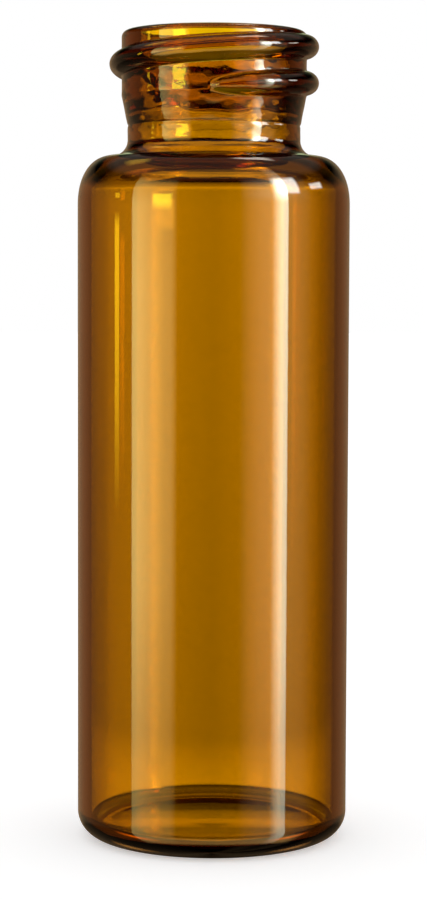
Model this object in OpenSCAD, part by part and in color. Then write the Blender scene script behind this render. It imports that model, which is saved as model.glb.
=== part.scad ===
// Glass sample vial with an open screw neck, blown and rolled from one amber tube.
// Millimetres, +Z up. The origin is the middle of the base, on the table.

/* [Body] */
// Outside diameter of the body tube
body_d = 22.75; // [20:0.05:32]
// Overall height, from the table to the lip
height = 67.55; // [45:0.05:120]
// Thickness of the side wall
wall = 1.1; // [0.7:0.05:1.8]

/* [Base] */
// Radius of the outside corner round the base
base_corner_r = 2.15; // [1.2:0.05:3.5]
// Width of the flat ring that the vial stands on
foot_w = 0.4; // [0.3:0.05:2]
// Height of the hollow under the base, at its middle
pushup_h = 0.2; // [0.1:0.05:0.6]
// Height of the floor above the table
floor_t = 1.3; // [0.9:0.05:2.5]
// Radius of the inside corner round the floor
floor_corner_r = 1; // [0.5:0.05:3]

/* [Shoulder] */
// Distance from the crest of the shoulder down to the straight body
shoulder_drop = 4.1; // [2.5:0.05:7]
// Fullness of the shoulder, where 2 is an ellipse and more is squarer
shoulder_fullness = 2.2; // [1.8:0.05:3]
// Radius of the hollow corner between shoulder and neck
neck_fillet_r = 1.33; // [0.6:0.01:1.6]
// Thickness of the glass at the crest of the shoulder
shoulder_wall = 1; // [0.7:0.05:2.2]
// Distance from the crest of the shoulder's inside down to the straight wall
inside_drop = 2.35; // [1.5:0.05:4]
// Fullness of the shoulder's inside, where 2 is an ellipse and more is squarer
inside_fullness = 2; // [1.6:0.05:3]
// Radius at which the shoulder's inside is highest
inside_crest_r = 7.9; // [7:0.05:9]
// Height of the rounded edge between the shoulder's inside and the neck's bore
bore_edge_h = 1.35; // [0.5:0.05:2]

/* [Neck] */
// Length from the crest of the shoulder to the lip
neck_len = 10.37; // [9.8:0.01:16]
// Outside diameter of the neck just above the shoulder
neck_d = 14.42; // [13.6:0.01:15.2]
// Height of the cone between the neck and the threaded wall
taper_h = 2.5; // [1.5:0.05:3]
// Diameter of the wall that carries the thread
finish_d = 15.42; // [15.25:0.01:16.4]
// Height of the threaded wall, up to the lip
finish_h = 5.35; // [5:0.05:5.8]
// Diameter of the mouth
bore_d = 11.86; // [9:0.01:12.4]
// Radius of the melted edge outside the lip
lip_outer_r = 0.55; // [0.2:0.05:0.8]
// Radius of the melted edge inside the lip
lip_inner_r = 0.4; // [0.2:0.05:0.8]

/* [Thread] */
// Diameter over the crest of the thread
thread_d = 17.45; // [16.6:0.01:18]
// Rise of the thread in one turn
thread_lead = 3; // [2.8:0.025:3.3]
// Width of the thread where it leaves the wall
thread_w = 2.1; // [1.4:0.05:2.3]
// Turns from one end of the thread to the other
thread_turns = 1.45; // [1:0.05:1.55]
// Distance from the lip down to the middle of the thread's lower end
thread_start = 5.05; // [4.8:0.05:5.4]
// Direction of the thread's lower end, seen from above
thread_start_a = -92; // [-180:1:180]
// Angle over which each end of the thread fades into the wall
thread_fade_a = 45; // [20:1:120]

/* [Hidden] */
$fn = 96;

// Segments in a quarter of a rounded corner, across the base, and round the thread
arc_steps = 10;
dome_steps = 8;
thread_sides = 12;
thread_rings_per_turn = 36;
// How far the middle of the thread's oval section lies inside the wall
thread_sink = 0.25;

body_r = body_d / 2;
cavity_r = body_r - wall;
neck_r = neck_d / 2;
finish_r = finish_d / 2;
bore_r = bore_d / 2;

foot_outer_r = body_r - base_corner_r;
foot_inner_r = foot_outer_r - foot_w;
floor_flat_r = cavity_r - floor_corner_r;

crest_r = neck_r + neck_fillet_r;
crest_z = height - neck_len;
inside_crest_z = crest_z - shoulder_wall;
taper_top_z = height - finish_h;

thread_mid_r = finish_r - thread_sink;
thread_h = thread_d / 2 - thread_mid_r;
// Size of the thread's very end, as a share of its full size, small enough to lie inside the wall
thread_tip = 0.6 * thread_sink / thread_h;
thread_z = height - thread_start;
thread_sweep = 360 * thread_turns;
thread_rings = ceil(thread_rings_per_turn * thread_turns);

// Points along an arc about [r, z], from angle a0 to a1
function arc(r, z, radius, a0, a1) = oval(r, z, radius, radius, a0, a1);

// The same with a different size across and up
function oval(r, z, across, up, a0, a1) = [
    for (i = [0 : arc_steps])
        let (a = a0 + (a1 - a0) * i / arc_steps)
            [r + across * cos(a), z + up * sin(a)]
];

// Points from the top of a straight wall [side_r, top_z - drop] over to [top_r, top_z]
function shoulder(side_r, top_r, top_z, drop, fullness) = [
    for (i = [0 : arc_steps])
        let (a = 90 * i / arc_steps, e = 2 / fullness)
            [top_r + (side_r - top_r) * pow(cos(a), e), top_z - drop + drop * pow(sin(a), e)]
];

// Points of a shallow bowl or dome, from its rim at [rim_r, rim_z] in to the axis
function dome(rim_r, rim_z, rise) = [
    for (i = [0 : dome_steps])
        let (k = 1 - i / dome_steps)
            [rim_r * k, rim_z + rise * (1 - k * k)]
];

function reversed(points) = [for (i = [len(points) - 1 : -1 : 0]) points[i]];

// The same outline without the points that repeat where two stretches meet
function distinct(points) = [
    for (i = [0 : len(points) - 1])
        if (i == 0 || norm(points[i] - points[i - 1]) > 0.001)
            points[i]
];

// The outside, from the middle of the base up to the lip
function outside() = concat(
    reversed(dome(foot_inner_r, 0, pushup_h)),
    arc(foot_outer_r, base_corner_r, base_corner_r, -90, 0),
    shoulder(body_r, crest_r, crest_z, shoulder_drop, shoulder_fullness),
    arc(crest_r, crest_z + neck_fillet_r, neck_fillet_r, -90, -180),
    [[neck_r, taper_top_z - taper_h], [finish_r, taper_top_z]],
    arc(finish_r - lip_outer_r, height - lip_outer_r, lip_outer_r, 0, 90)
);

// The inside, from the lip down to the middle of the floor
function inside() = concat(
    arc(bore_r + lip_inner_r, height - lip_inner_r, lip_inner_r, 90, 180),
    oval(inside_crest_r, inside_crest_z + bore_edge_h, inside_crest_r - bore_r, bore_edge_h, -180, -90),
    reversed(shoulder(cavity_r, inside_crest_r, inside_crest_z, inside_drop, inside_fullness)),
    arc(floor_flat_r, floor_t + floor_corner_r, floor_corner_r, 0, -90),
    [[0, floor_t]]
);

// How full the thread is at an angle along it: it swells from each tip and keeps its size between
function bead_size(along) =
    let (from_end = min(along, thread_sweep - along, thread_fade_a))
        max(thread_tip, sqrt(sin(90 * from_end / thread_fade_a)));

// One ring of the thread: an oval bead, half sunk in the wall
function thread_ring(along) =
    let (full = bead_size(along), turn = thread_start_a + along, z = thread_z + thread_lead * along / 360)
        [
            for (i = [0 : thread_sides - 1])
                let (a = 360 * i / thread_sides, r = thread_mid_r + thread_h * full * cos(a))
                    [r * cos(turn), r * sin(turn), z + thread_w / 2 * full * sin(a)]
        ];

module thread() {
    last = thread_rings * thread_sides;
    points = [
        for (k = [0 : thread_rings])
            each thread_ring(thread_sweep * k / thread_rings)
    ];
    sides = [
        for (k = [0 : thread_rings - 1], i = [0 : thread_sides - 1])
            let (a = k * thread_sides + i, b = k * thread_sides + (i + 1) % thread_sides)
                each [[a, b, a + thread_sides], [b, b + thread_sides, a + thread_sides]]
    ];
    ends = [
        [for (i = [thread_sides - 1 : -1 : 0]) i],
        [for (i = [0 : thread_sides - 1]) last + i]
    ];
    polyhedron(points, concat(sides, ends), convexity = 4);
}

module glass_vial() {
    color([0.61, 0.38, 0.02])
        union() {
            rotate_extrude(convexity = 4)
                polygon(distinct(concat(outside(), inside())));
            thread();
        }
}

glass_vial();
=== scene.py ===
import math

import bpy
import numpy as np
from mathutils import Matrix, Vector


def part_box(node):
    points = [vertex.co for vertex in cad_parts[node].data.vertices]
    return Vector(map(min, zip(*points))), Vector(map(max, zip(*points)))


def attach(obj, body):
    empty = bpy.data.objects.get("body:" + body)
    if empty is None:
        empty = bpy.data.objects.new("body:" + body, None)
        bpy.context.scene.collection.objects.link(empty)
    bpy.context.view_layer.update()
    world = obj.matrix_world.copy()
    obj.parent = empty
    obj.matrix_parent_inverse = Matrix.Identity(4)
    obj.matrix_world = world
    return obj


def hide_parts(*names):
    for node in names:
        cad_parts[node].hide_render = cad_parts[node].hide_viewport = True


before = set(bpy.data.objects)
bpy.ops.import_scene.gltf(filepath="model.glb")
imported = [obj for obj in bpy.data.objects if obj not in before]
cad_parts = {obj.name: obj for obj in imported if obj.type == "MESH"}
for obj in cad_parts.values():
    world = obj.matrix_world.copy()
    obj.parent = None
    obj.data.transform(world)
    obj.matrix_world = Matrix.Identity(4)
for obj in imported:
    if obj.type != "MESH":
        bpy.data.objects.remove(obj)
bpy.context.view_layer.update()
print("frame loaded")

mm = 0.001  # the sizes below are in millimetres, the scene is in metres
scene = bpy.context.scene

low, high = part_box("glass_vial")
bodyR = min(high.x, high.y, -low.x, -low.y) / mm
height = high.z / mm


# distance, height and lens in millimetres, pitch and lean in degrees
camera = {"distance": 205.78, "height": 46.83, "pitch": 3.947, "lens": 97.94, "lean": -0.195, "film": 36}


def makeCamera(c):
    data = bpy.data.cameras.new("camera")
    data.lens = c["lens"]
    data.sensor_fit = "VERTICAL"
    data.sensor_height = c["film"]
    data.clip_start = 0.01
    data.clip_end = 20
    eye = bpy.data.objects.new("camera", data)
    scene.collection.objects.link(eye)
    eye.location = (0, -c["distance"] * mm, c["height"] * mm)
    eye.rotation_euler = (math.radians(90 - c["pitch"]), math.radians(c["lean"]), 0)
    scene.camera = eye


makeCamera(camera)
scene.view_settings.view_transform = "Standard"


vial = {
    "wall": 1.1, "baseCorner": 2.15, "footWidth": 0.4, "pushup": 0.2, "dimpleR": 1.75, "dimple": 0.01,
    "floor": 1.3, "floorCorner": 1.0,
    "shoulderDrop": 4.1, "shoulderFullness": 2.2,
    "innerDrop": 2.35, "innerCrestR": 7.9, "shoulderWall": 1.0, "innerFullness": 2.0, "boreCorner": 1.35,
    "neckLength": 10.37, "neckR": 7.21, "neckFillet": 1.33, "neckBore": 6.15,
    "taper": 2.5, "finishR": 7.71, "finish": 5.35, "boreR": 6.15,
    "lipOuter": 0.55, "lipInner": 0.4,
    "boreWave": 0.012, "neckWave": 0.008,  # how uneven the flame left the glass of the neck
    "waveFrom": 57, "waveTo": 66, "waveFade": 1.5,  # the heights between which it did
    "crease": 0.05, "creaseWidth": 0.11,  # the fine line round the neck where the taper starts
    "toolMark": 0.05, "toolMarkZ": 60.8, "toolMarkWander": 0.2,  # the line that the tool left in the bore
    "columns": 210, "finishRows": 140, "neckRows": 130, "fineRows": 2400,
}
thread = {
    "crestR": 8.725, "sink": 0.25, "lead": 3.0, "width": 2.1, "turns": 1.45,
    "start": 5.05, "startAngle": -92, "fade": 45, "fillet": 0.12,
    "tip": 0.6, "bluntness": 0.4, "flank": 3,  # how thick and blunt its ends are, how it meets the wall
}


def arc(r, z, radius, a0, a1, steps, tall=None):
    a = np.radians(np.linspace(a0, a1, steps + 1))
    return np.column_stack([r + radius * np.cos(a), z + (tall or radius) * np.sin(a)])


def shoulder(sideR, topR, topZ, drop, fullness, steps):
    a = np.radians(np.linspace(0, 90, steps + 1))
    e = 2 / fullness
    c = np.clip(np.cos(a), 0, 1) ** e
    s = np.sin(a) ** e
    return np.column_stack([topR + (sideR - topR) * c, topZ - drop + drop * s])


def distinct(points):
    keep = [0] + [i for i in range(1, len(points)) if np.linalg.norm(points[i] - points[i - 1]) > 1e-4]
    return points[keep]


def evenly(line, rows):
    # the same line, cut into equal steps along its length
    s = np.concatenate([[0], np.cumsum(np.hypot(np.diff(line[:, 0]), np.diff(line[:, 1])))])
    want = np.linspace(0, s[-1], rows)
    return np.column_stack([np.interp(want, s, line[:, 0]), np.interp(want, s, line[:, 1])])


def flameWaves(a, z):
    # slow ripples round and up the neck, fading out at its foot and at the rim
    v = vial
    k = np.clip((z - v["waveFrom"]) / v["waveFade"], 0, 1) * np.clip((v["waveTo"] - z) / v["waveFade"], 0, 1)
    w = np.sin(5 * a + 1.1 * z + 0.6) + 0.8 * np.sin(9 * a - 2.3 * z + 2.1)
    w = w + 0.7 * np.sin(3 * a - 4.6 * z + 1.3) + 0.6 * np.sin(13 * a + 3.4 * z)
    w = w + 0.5 * np.sin(21 * a + 5.2 * z + 4.0) + 0.4 * np.sin(17 * a - 6.8 * z)
    return k * k * (3 - 2 * k) * w / 1.6


def groove(z, at, depth):
    # a fine rounded groove at one height
    return -depth * np.exp(-((z - at) / vial["creaseWidth"]) ** 2)


def threadedRows(profile, azimuths, rows):
    # rows up the threaded wall, evenly spaced along the surface at each azimuth
    r0, z0 = profile[:, 0], profile[:, 1]
    t = thread
    midR = vial["finishR"] - t["sink"]
    beadH = t["crestR"] - midR
    tip = t["tip"] * t["sink"] / beadH
    sweep = 360 * t["turns"]
    outR = np.zeros((rows, len(azimuths)))
    outZ = np.zeros((rows, len(azimuths)))
    for c, az in enumerate(azimuths):
        r = r0.copy()
        for turn in range(3):
            along = (az - t["startAngle"]) % 360 + 360 * turn
            if along > sweep:
                continue
            fromEnd = min(along, sweep - along, t["fade"])
            full = max(tip, max(0, math.sin(math.radians(90 * fromEnd / t["fade"]))) ** t["bluntness"])
            zc = height - t["start"] + t["lead"] * along / 360
            half = t["width"] / 2 * full
            u = np.abs(z0 - zc)
            inside = np.sqrt(np.clip(1 - (u / half) ** 2, 0, None))
            bead = midR + beadH * full * inside - np.clip(u - half, 0, None) * t["flank"] - r
            r = r + 0.5 * (bead + np.sqrt(bead ** 2 + t["fillet"] ** 2))
        r = r + vial["neckWave"] * flameWaves(math.radians(az), z0)
        r = r + groove(z0, height - vial["finish"] - vial["taper"], vial["crease"])
        line = evenly(np.column_stack([r, z0]), rows)
        outR[:, c], outZ[:, c] = line[:, 0], line[:, 1]
    return outR, outZ


def unevenBore(line, azimuths):
    # the bore as the tool left it, a little wavy round and up the neck
    r = np.repeat(line[:, :1], len(azimuths), 1)
    z = np.repeat(line[:, 1:], len(azimuths), 1)
    a = np.radians(azimuths)[None, :]
    wander = np.sin(2 * a + 1) + 0.6 * np.sin(5 * a) + 0.3 * np.sin(11 * a)
    mark = vial["toolMarkZ"] + vial["toolMarkWander"] * wander
    return r + vial["boreWave"] * flameWaves(a, z) - groove(z, mark, vial["toolMark"]), z


def makeVial():
    v = vial
    cavityR = bodyR - v["wall"]
    crestR = v["neckR"] + v["neckFillet"]
    crestZ = height - v["neckLength"]
    innerCrestZ = crestZ - v["shoulderWall"]
    taperTop = height - v["finish"]
    footR = bodyR - v["baseCorner"]
    innerFootR = footR - v["footWidth"]
    floorR = cavityR - v["floorCorner"]
    azimuths = np.arange(v["columns"]) * 360 / v["columns"]

    # underside: a shallow dome with a small dimple in its middle, inside the ring it stands on
    under = np.linspace(0, innerFootR, 41)[1:]
    rise = v["pushup"] * (1 - (under / innerFootR) ** 2) + v["dimple"] * np.exp(-(under / v["dimpleR"]) ** 4)
    lower = distinct(np.vstack([
        np.column_stack([under, rise]),
        arc(footR, v["baseCorner"], v["baseCorner"], -90, 0, 18),
        shoulder(bodyR, crestR, crestZ, v["shoulderDrop"], v["shoulderFullness"], 36),
        arc(crestR, crestZ + v["neckFillet"], v["neckFillet"], -90, -180, 16),
    ]))
    wall = evenly(np.vstack([
        [[v["neckR"], crestZ + v["neckFillet"]], [v["neckR"], taperTop - v["taper"]]],
        [[v["finishR"], taperTop]],
        arc(v["finishR"] - v["lipOuter"], height - v["lipOuter"], v["lipOuter"], 0, 90, 16),
    ]), v["fineRows"])
    upR, upZ = threadedRows(wall, azimuths, v["finishRows"])
    bore = np.vstack([
        arc(v["boreR"] + v["lipInner"], height - v["lipInner"], v["lipInner"], 90, 180, 16),
        [[v["boreR"], taperTop], [v["neckBore"], taperTop - v["taper"]]],
        [[v["neckBore"], innerCrestZ + v["boreCorner"]]],
    ])
    boreR, boreZ = unevenBore(evenly(bore, v["neckRows"]), azimuths)
    inner = distinct(np.vstack([
        arc(v["innerCrestR"], innerCrestZ + v["boreCorner"], v["innerCrestR"] - v["neckBore"], -180, -90, 20,
            v["boreCorner"]),
        shoulder(cavityR, v["innerCrestR"], innerCrestZ, v["innerDrop"], v["innerFullness"], 40)[::-1],
        arc(floorR, v["floor"] + v["floorCorner"], v["floorCorner"], 0, -90, 12),
        [[floorR * k, v["floor"]] for k in np.linspace(0.95, 0.02, 12)],
    ]))
    cols = v["columns"]

    def around(line):
        return np.repeat(line[:, :1], cols, 1), np.repeat(line[:, 1:], cols, 1)

    lowR, lowZ = around(lower[:-1])
    inR, inZ = around(inner[1:])
    rs = np.vstack([lowR, upR, boreR, inR])
    zs = np.vstack([lowZ, upZ, boreZ, inZ])
    a = np.radians(azimuths)
    verts = np.stack([rs * np.cos(a), rs * np.sin(a), zs], -1).reshape(-1, 3) * mm
    rows = len(rs)
    i = np.arange(rows - 1)[:, None] * cols
    j = np.arange(cols)[None, :]
    k = (j + 1) % cols
    quads = np.stack([i + j, i + k, i + cols + k, i + cols + j], -1).reshape(-1, 4)
    bottom = len(verts)
    top = bottom + 1
    verts = np.vstack([verts, [0, 0, (v["pushup"] + v["dimple"]) * mm], [0, 0, v["floor"] * mm]])
    last = (rows - 1) * cols
    fans = [(bottom, (c + 1) % cols, c) for c in range(cols)]
    fans += [(top, last + c, last + (c + 1) % cols) for c in range(cols)]
    mesh = bpy.data.meshes.new("vialGlass")
    mesh.from_pydata(verts.tolist(), [], quads.tolist() + fans)
    mesh.polygons.foreach_set("use_smooth", [True] * len(mesh.polygons))
    mesh.update()
    obj = bpy.data.objects.new("vialGlass", mesh)
    scene.collection.objects.link(obj)
    return obj


glass = {
    "tint": (0.8, 0.66, 0.06), "deepTint": (0.78, 0.63, 0.05),
    "absorb": (0.9, 0.78, 0.0), "density": 2500, "ior": 1.52,
    "lineSize": 2.4, "lineDepth": 0.0012,  # fine lines up the wall, left by drawing the tube
    "rippleSize": 1.1, "rippleDepth": 0.009, "rippleFrom": 56.5,  # ripples of the flame-worked neck
    "smudgeSize": 5, "smudge": 0.03,  # how rough the surface is where it has been handled
}


def link(tree, a, b):
    tree.links.new(a, b)


def workedGlass():
    # the fine unevenness of the surface: its tint, its roughness and its height in metres
    group = bpy.data.node_groups.new("workedGlass", "ShaderNodeTree")
    ins = [("Tint", "Color"), ("Deep Tint", "Color"), ("Line Size", "Float"), ("Line Depth", "Float"),
           ("Ripple Size", "Float"), ("Ripple Depth", "Float"), ("Ripple From", "Float"),
           ("Smudge Size", "Float"), ("Smudge", "Float")]
    for name, kind in ins:
        group.interface.new_socket(name, in_out="INPUT", socket_type="NodeSocket" + kind)
    for name, kind in (("Tint", "Color"), ("Roughness", "Float"), ("Height", "Float")):
        group.interface.new_socket(name, in_out="OUTPUT", socket_type="NodeSocket" + kind)
    given = group.nodes.new("NodeGroupInput").outputs
    out = group.nodes.new("NodeGroupOutput").inputs
    place = group.nodes.new("ShaderNodeTexCoord").outputs["Object"]

    def maths(kind, a, b):
        n = group.nodes.new("ShaderNodeMath")
        n.operation = kind
        for v, s in ((a, n.inputs[0]), (b, n.inputs[1])):
            if isinstance(v, (int, float)):
                s.default_value = v
            else:
                link(group, v, s)
        return n.outputs[0]

    def noise(size, stretch, detail):
        # features about size metres across and 1 / stretch times as tall
        scaled = group.nodes.new("ShaderNodeMapping")
        scaled.inputs["Scale"].default_value = (1, 1, stretch)
        link(group, place, scaled.inputs["Vector"])
        n = group.nodes.new("ShaderNodeTexNoise")
        n.inputs["Detail"].default_value = detail
        link(group, scaled.outputs[0], n.inputs["Vector"])
        link(group, maths("DIVIDE", 1, size), n.inputs["Scale"])
        return n.outputs["Fac"]

    def span(value, fromMin, fromMax, toMax):
        n = group.nodes.new("ShaderNodeMapRange")
        n.interpolation_type = "SMOOTHSTEP"
        for v, s in ((value, "Value"), (fromMin, "From Min"), (fromMax, "From Max"), (toMax, "To Max")):
            if isinstance(v, (int, float)):
                n.inputs[s].default_value = v
            else:
                link(group, v, n.inputs[s])
        return n.outputs[0]

    lines = noise(given["Line Size"], stretch=0.04, detail=2)
    ripples = noise(given["Ripple Size"], stretch=1.5, detail=3)
    up = group.nodes.new("ShaderNodeSeparateXYZ")
    link(group, place, up.inputs[0])
    fade = 3 * mm
    neck = span(up.outputs["Z"], given["Ripple From"], maths("ADD", given["Ripple From"], fade), 1.0)
    rippled = maths("MULTIPLY", maths("MULTIPLY", ripples, neck), given["Ripple Depth"])
    link(group, maths("ADD", maths("MULTIPLY", lines, given["Line Depth"]), rippled), out["Height"])
    handled = noise(given["Smudge Size"], stretch=0.7, detail=4)
    smudgeStart, smudgeFull = 0.5, 0.72
    link(group, span(handled, smudgeStart, smudgeFull, given["Smudge"]), out["Roughness"])
    tint = group.nodes.new("ShaderNodeMix")
    tint.data_type = "RGBA"
    link(group, lines, tint.inputs["Factor"])
    link(group, given["Tint"], tint.inputs[6])
    link(group, given["Deep Tint"], tint.inputs[7])
    link(group, tint.outputs[2], out["Tint"])
    return group


def amberGlass():
    g = glass
    m = bpy.data.materials.new("amberGlass")
    m.use_nodes = True
    nt = m.node_tree
    p = nt.nodes["Principled BSDF"]
    p.inputs["Transmission Weight"].default_value = 1
    p.inputs["IOR"].default_value = g["ior"]
    worked = nt.nodes.new("ShaderNodeGroup")
    worked.node_tree = workedGlass()
    for name, value in (("Tint", (*g["tint"], 1)), ("Deep Tint", (*g["deepTint"], 1)),
                        ("Line Size", g["lineSize"] * mm), ("Line Depth", g["lineDepth"] * mm),
                        ("Ripple Size", g["rippleSize"] * mm), ("Ripple Depth", g["rippleDepth"] * mm),
                        ("Ripple From", g["rippleFrom"] * mm),
                        ("Smudge Size", g["smudgeSize"] * mm), ("Smudge", g["smudge"])):
        worked.inputs[name].default_value = value
    bump = nt.nodes.new("ShaderNodeBump")
    bump.inputs["Distance"].default_value = 1
    link(nt, worked.outputs["Tint"], p.inputs["Base Color"])
    link(nt, worked.outputs["Roughness"], p.inputs["Roughness"])
    link(nt, worked.outputs["Height"], bump.inputs["Height"])
    link(nt, bump.outputs["Normal"], p.inputs["Normal"])
    vol = nt.nodes.new("ShaderNodeVolumeAbsorption")
    vol.inputs["Color"].default_value = (*g["absorb"], 1)
    vol.inputs["Density"].default_value = g["density"]
    link(nt, vol.outputs[0], nt.nodes["Material Output"].inputs["Volume"])
    return m


body = makeVial()
body.data.materials.append(amberGlass())
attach(body, "root")
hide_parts("glass_vial")
print("vial made", len(body.data.polygons))


def onlyMirrored(tree):
    # 1 for light that has bounced off the glass at least once, 0 for light that came straight through
    path = tree.nodes.new("ShaderNodeLightPath")
    test = tree.nodes.new("ShaderNodeMath")
    test.operation = "GREATER_THAN"
    test.inputs[1].default_value = 0.5
    link(tree, path.outputs["Glossy Depth"], test.inputs[0])
    return test.outputs[0]


floor = {"half": 2.0, "grey": 0.8, "lift": 0.45}  # metres, and how much its paleness shows to the eye


def makeFloor():
    mesh = bpy.data.meshes.new("floor")
    s = floor["half"]
    mesh.from_pydata([(-s, -s, 0), (s, -s, 0), (s, s, 0), (-s, s, 0)], [], [(0, 1, 2, 3)])
    obj = bpy.data.objects.new("floor", mesh)
    scene.collection.objects.link(obj)
    m = bpy.data.materials.new("floor")
    m.use_nodes = True
    nt = m.node_tree
    p = nt.nodes["Principled BSDF"]
    p.inputs["Base Color"].default_value = (floor["grey"], floor["grey"], floor["grey"], 1)
    p.inputs["Roughness"].default_value = 1
    p.inputs["Specular IOR Level"].default_value = 0
    glow = nt.nodes.new("ShaderNodeEmission")
    path = nt.nodes.new("ShaderNodeLightPath")
    lift = nt.nodes.new("ShaderNodeMapRange")
    lift.inputs["To Min"].default_value = 0.0
    lift.inputs["To Max"].default_value = floor["lift"]
    link(nt, path.outputs["Is Camera Ray"], lift.inputs["Value"])
    link(nt, lift.outputs[0], glow.inputs["Strength"])
    add = nt.nodes.new("ShaderNodeAddShader")
    link(nt, p.outputs[0], add.inputs[0])
    link(nt, glow.outputs[0], add.inputs[1])
    clear = nt.nodes.new("ShaderNodeBsdfTransparent")
    mix = nt.nodes.new("ShaderNodeMixShader")
    # light through the glass or off it meets the backdrop instead
    either = nt.nodes.new("ShaderNodeMath")
    either.operation = "MAXIMUM"
    link(nt, path.outputs["Is Transmission Ray"], either.inputs[0])
    link(nt, onlyMirrored(nt), either.inputs[1])
    link(nt, either.outputs[0], mix.inputs[0])
    link(nt, add.outputs[0], mix.inputs[1])
    link(nt, clear.outputs[0], mix.inputs[2])
    link(nt, mix.outputs[0], nt.nodes["Material Output"].inputs["Surface"])
    obj.data.materials.append(m)


makeFloor()

lights = {
    # what stands round the vial: how it is seen, its colour, and its brightness by compass in degrees
    # (0 straight behind the vial, + to the right) times that by height above the table in degrees
    "backdrop": {
        "seen": "through", "color": (0.9, 1, 0.85), "strength": 1,
        "round": [(-60, 0.6), (-30, 1.4), (-25, 1), (-14, 1), (-9, 1.4), (-3, 1.5), (0, 1.2), (3, 1.6),
                  (9, 1.4), (13, 1), (20, 0.7), (26, 0.9), (32, 0.3), (40, 1.4), (60, 0.6)],
        "height": [(-90, 0.2), (-55, 1.1), (-30, 0.2), (-20, 0.35), (-16, 0.1), (-15, 1), (-13, 1.4),
                   (-12, 1.2), (-11.5, 0.8), (3, 1.1), (5, 1.4), (8, 1.4), (10, 0.9), (18, 0.6),
                   (21, 0.2), (40, 0.2), (90, 0)]},
    "wideBackdrop": {
        "seen": "through", "color": (1, 1, 1), "strength": 0.7,
        "round": [(-180, 1), (-75, 1), (-60, 0), (60, 0), (75, 1), (180, 1)],
        "height": [(-90, 0.3), (-45, 0.6), (-15, 1), (20, 1), (45, 0.6), (90, 0.3)]},
    "surround": {
        "seen": "mirrored", "color": (1, 0.65, 0.35), "strength": 1,
        "round": [(-160, 0), (-60, 0.4), (-15, 0.9), (0, 0.2), (15, 0.8), (60, 0.3), (80, 0), (100, 0.8),
                  (120, 0.2), (140, 0.7), (160, 0)],
        "height": [(-90, 0.3), (-20, 0.15), (-15, 0.45), (10, 0.5), (22, 0), (90, 0.2)]},
    "leftBox": {
        "seen": "mirrored", "color": (1, 0.9, 0.35), "strength": 7,
        "round": [(-150, 0), (-144, 0.4), (-130, 0.55), (-112, 1), (-108.5, 0.95), (-107.5, 0)],
        "height": [(-50, 0), (-14, 0.4), (-8, 0.9), (0, 1), (5, 0.7), (25, 0.4), (34, 0)]},
    "rightBox": {
        "seen": "mirrored", "color": (0.9, 1, 0.8), "strength": 27,
        "round": [(90, 0), (114.5, 0.05), (115.5, 1), (121, 1), (130, 0.1), (158, 0)],
        "height": [(-50, 0), (-14, 0.2), (-10, 0.35), (2, 0.5), (8, 1), (25, 0.8), (35, 0.1), (55, 0)]},
    "goldStrip": {
        "seen": "mirrored", "color": (1, 0.6, 0.01), "strength": 10,
        "round": [(-94.5, 0), (-93.5, 1), (-89.5, 1), (-88.5, 0)],
        "height": [(-6, 0), (-2.5, 0.7), (0, 1), (1.6, 1), (2, 0), (5, 0), (5.5, 0.7), (9, 0.7), (10, 0)]},
    "goldPatch": {
        "seen": "mirrored", "color": (1, 0.88, 0.01), "strength": 11,
        "round": [(-146, 0), (-143, 1), (-129, 1), (-127, 0)],
        "height": [(2.15, 0), (2.4, 1), (8.6, 1), (10.6, 0)]},
    "topRight": {
        "seen": "mirrored", "color": (1, 1, 0.95), "strength": 14,
        "round": [(101, 0), (104, 1), (122.5, 1), (128, 0)],
        "height": [(9, 0), (12, 1), (28, 1), (33, 0)]},
    "sideRight": {
        "seen": "mirrored", "color": (1, 1, 0.95), "strength": 9,
        "round": [(72, 0), (75, 1), (88, 1), (90, 0)],
        "height": [(13, 0), (15, 1), (19, 1), (21, 0)]},
    "upperRight": {
        "seen": "mirrored", "color": (1, 0.9, 0.75), "strength": 6,
        "round": [(28, 0), (38, 1), (62, 1), (72, 0)],
        "height": [(60, 0), (65, 1), (76, 1), (80, 0)]},
    "tableFront": {
        "seen": "mirrored", "color": (1, 0.66, 0.2), "strength": 2.2,
        "round": [(-180, 1), (-120, 0.8), (-105, 0), (90, 0), (105, 1), (180, 1)],
        "height": [(-50, 0), (-42, 1), (-25, 1), (-19, 0)]},
    "goldTop": {
        "seen": "mirrored", "color": (1, 0.6, 0.05), "strength": 2.5,
        "round": [(-76, 0), (-66, 1), (-52, 1), (-42, 0)],
        "height": [(43, 0), (49, 1), (56, 1), (60, 0)]},
    "ceiling": {
        "seen": "mirrored", "color": (1, 0.87, 0.75), "strength": 0.22,
        "round": [(-180, 1), (180, 1)],
        "height": [(30, 0), (38, 1), (90, 1)]},
    "tableGlowLeft": {
        "seen": "mirrored", "color": (1, 0.42, 0.08), "strength": 2.2,
        "round": [(-50, 0), (-38, 1), (-30, 0.6), (-22, 0)],
        "height": [(-62, 0), (-50, 1), (-40, 0)]},
    "tableGlowRight": {
        "seen": "mirrored", "color": (1, 0.42, 0.1), "strength": 2,
        "round": [(22, 0), (30, 0.6), (37, 1), (50, 0)],
        "height": [(-60, 0), (-50, 1), (-40, 0)]},
    "backLight": {
        "seen": "mirrored", "color": (0.8, 1, 0.55), "strength": 2.2,
        "round": [(-30, 0), (-8, 0.05), (-2, 1), (2, 1), (8, 0.05), (30, 0)],
        "height": [(12, 0), (12.5, 0.8), (20, 1), (28, 1), (40, 0)]},
}
skyLevel = 0.8  # how strongly the white room lights the floor


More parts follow.
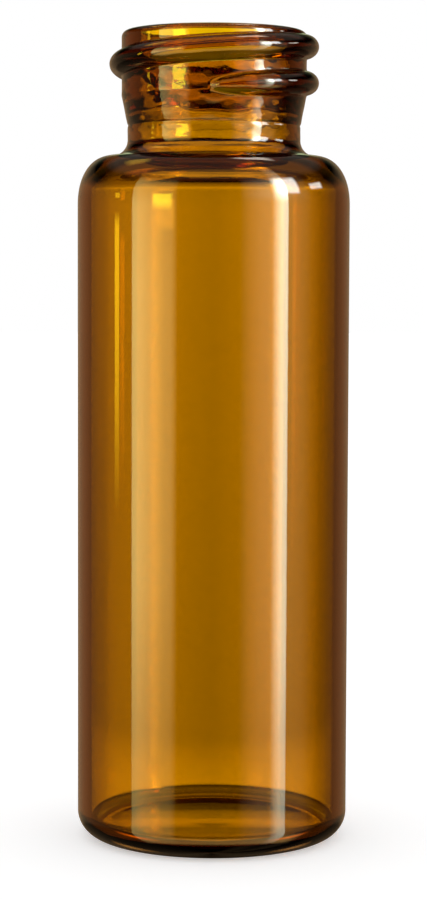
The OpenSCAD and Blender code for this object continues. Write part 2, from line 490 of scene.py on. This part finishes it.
def spread(tree, angle, stops):
    # a brightness that follows an angle through its stops
    span = tree.nodes.new("ShaderNodeMapRange")
    first, last = stops[0][0], stops[-1][0]
    span.inputs["From Min"].default_value = math.radians(first)
    span.inputs["From Max"].default_value = math.radians(last)
    link(tree, angle, span.inputs["Value"])
    curve = tree.nodes.new("ShaderNodeValToRGB")
    e = curve.color_ramp.elements
    while len(e) > 1:
        e.remove(e[-1])
    highest = max(v for _, v in stops)
    e[0].position = 0
    for a, v in stops[1:]:
        e.new((a - first) / (last - first))
    for stop, (_, v) in zip(e, stops):
        stop.color = (v / highest, v / highest, v / highest, 1)
    link(tree, span.outputs[0], curve.inputs[0])
    return curve.outputs["Color"], highest


def makeWorld():
    # plain white to the eye; the vial shows the lights round it, behind it and in its reflections
    world = bpy.data.worlds.new("world")
    scene.world = world
    world.use_nodes = True
    tree = world.node_tree

    def vector(kind, a, b):
        n = tree.nodes.new("ShaderNodeVectorMath")
        n.operation = kind
        for v, s in ((a, n.inputs[0]), (b, n.inputs["Scale"] if kind == "SCALE" else n.inputs[1])):
            if isinstance(v, (int, float, tuple)):
                s.default_value = v
            else:
                link(tree, v, s)
        return n.outputs[0]

    def angle(kind, *parts):
        n = tree.nodes.new("ShaderNodeMath")
        n.operation = kind
        for k, part in enumerate(parts):
            link(tree, part, n.inputs[k])
        return n.outputs[0]

    def choose(switch, a, b):
        n = tree.nodes.new("ShaderNodeMix")
        n.data_type = "VECTOR"
        link(tree, switch, n.inputs[0])
        for v, s in ((a, n.inputs[4]), (b, n.inputs[5])):
            if isinstance(v, tuple):
                s.default_value = v
            else:
                link(tree, v, s)
        return n.outputs[1]

    direction = tree.nodes.new("ShaderNodeTexCoord")
    xyz = tree.nodes.new("ShaderNodeSeparateXYZ")
    link(tree, direction.outputs["Generated"], xyz.inputs[0])
    compass = angle("ARCTAN2", xyz.outputs["X"], xyz.outputs["Y"])
    rise = angle("ARCSINE", xyz.outputs["Z"])
    seen = {"through": (0.0, 0.0, 0.0), "mirrored": (0.0, 0.0, 0.0)}
    for name, l in lights.items():
        across, most = spread(tree, compass, l["round"])
        up, top = spread(tree, rise, l["height"])
        light = vector("MULTIPLY", across, up)
        light = vector("MULTIPLY", light, tuple(c * l["strength"] * most * top for c in l["color"]))
        seen[l["seen"]] = vector("ADD", light, seen[l["seen"]])
    path = tree.nodes.new("ShaderNodeLightPath")
    glassOnly = choose(onlyMirrored(tree), seen["through"], seen["mirrored"])
    plain = choose(path.outputs["Is Diffuse Ray"], (1.0, 1.0, 1.0), (skyLevel, skyLevel, skyLevel))
    viaGlass = angle("MAXIMUM", path.outputs["Is Transmission Ray"], path.outputs["Is Glossy Ray"])
    link(tree, choose(viaGlass, plain, glassOnly), tree.nodes["Background"].inputs["Color"])


makeWorld()
print("studio made")
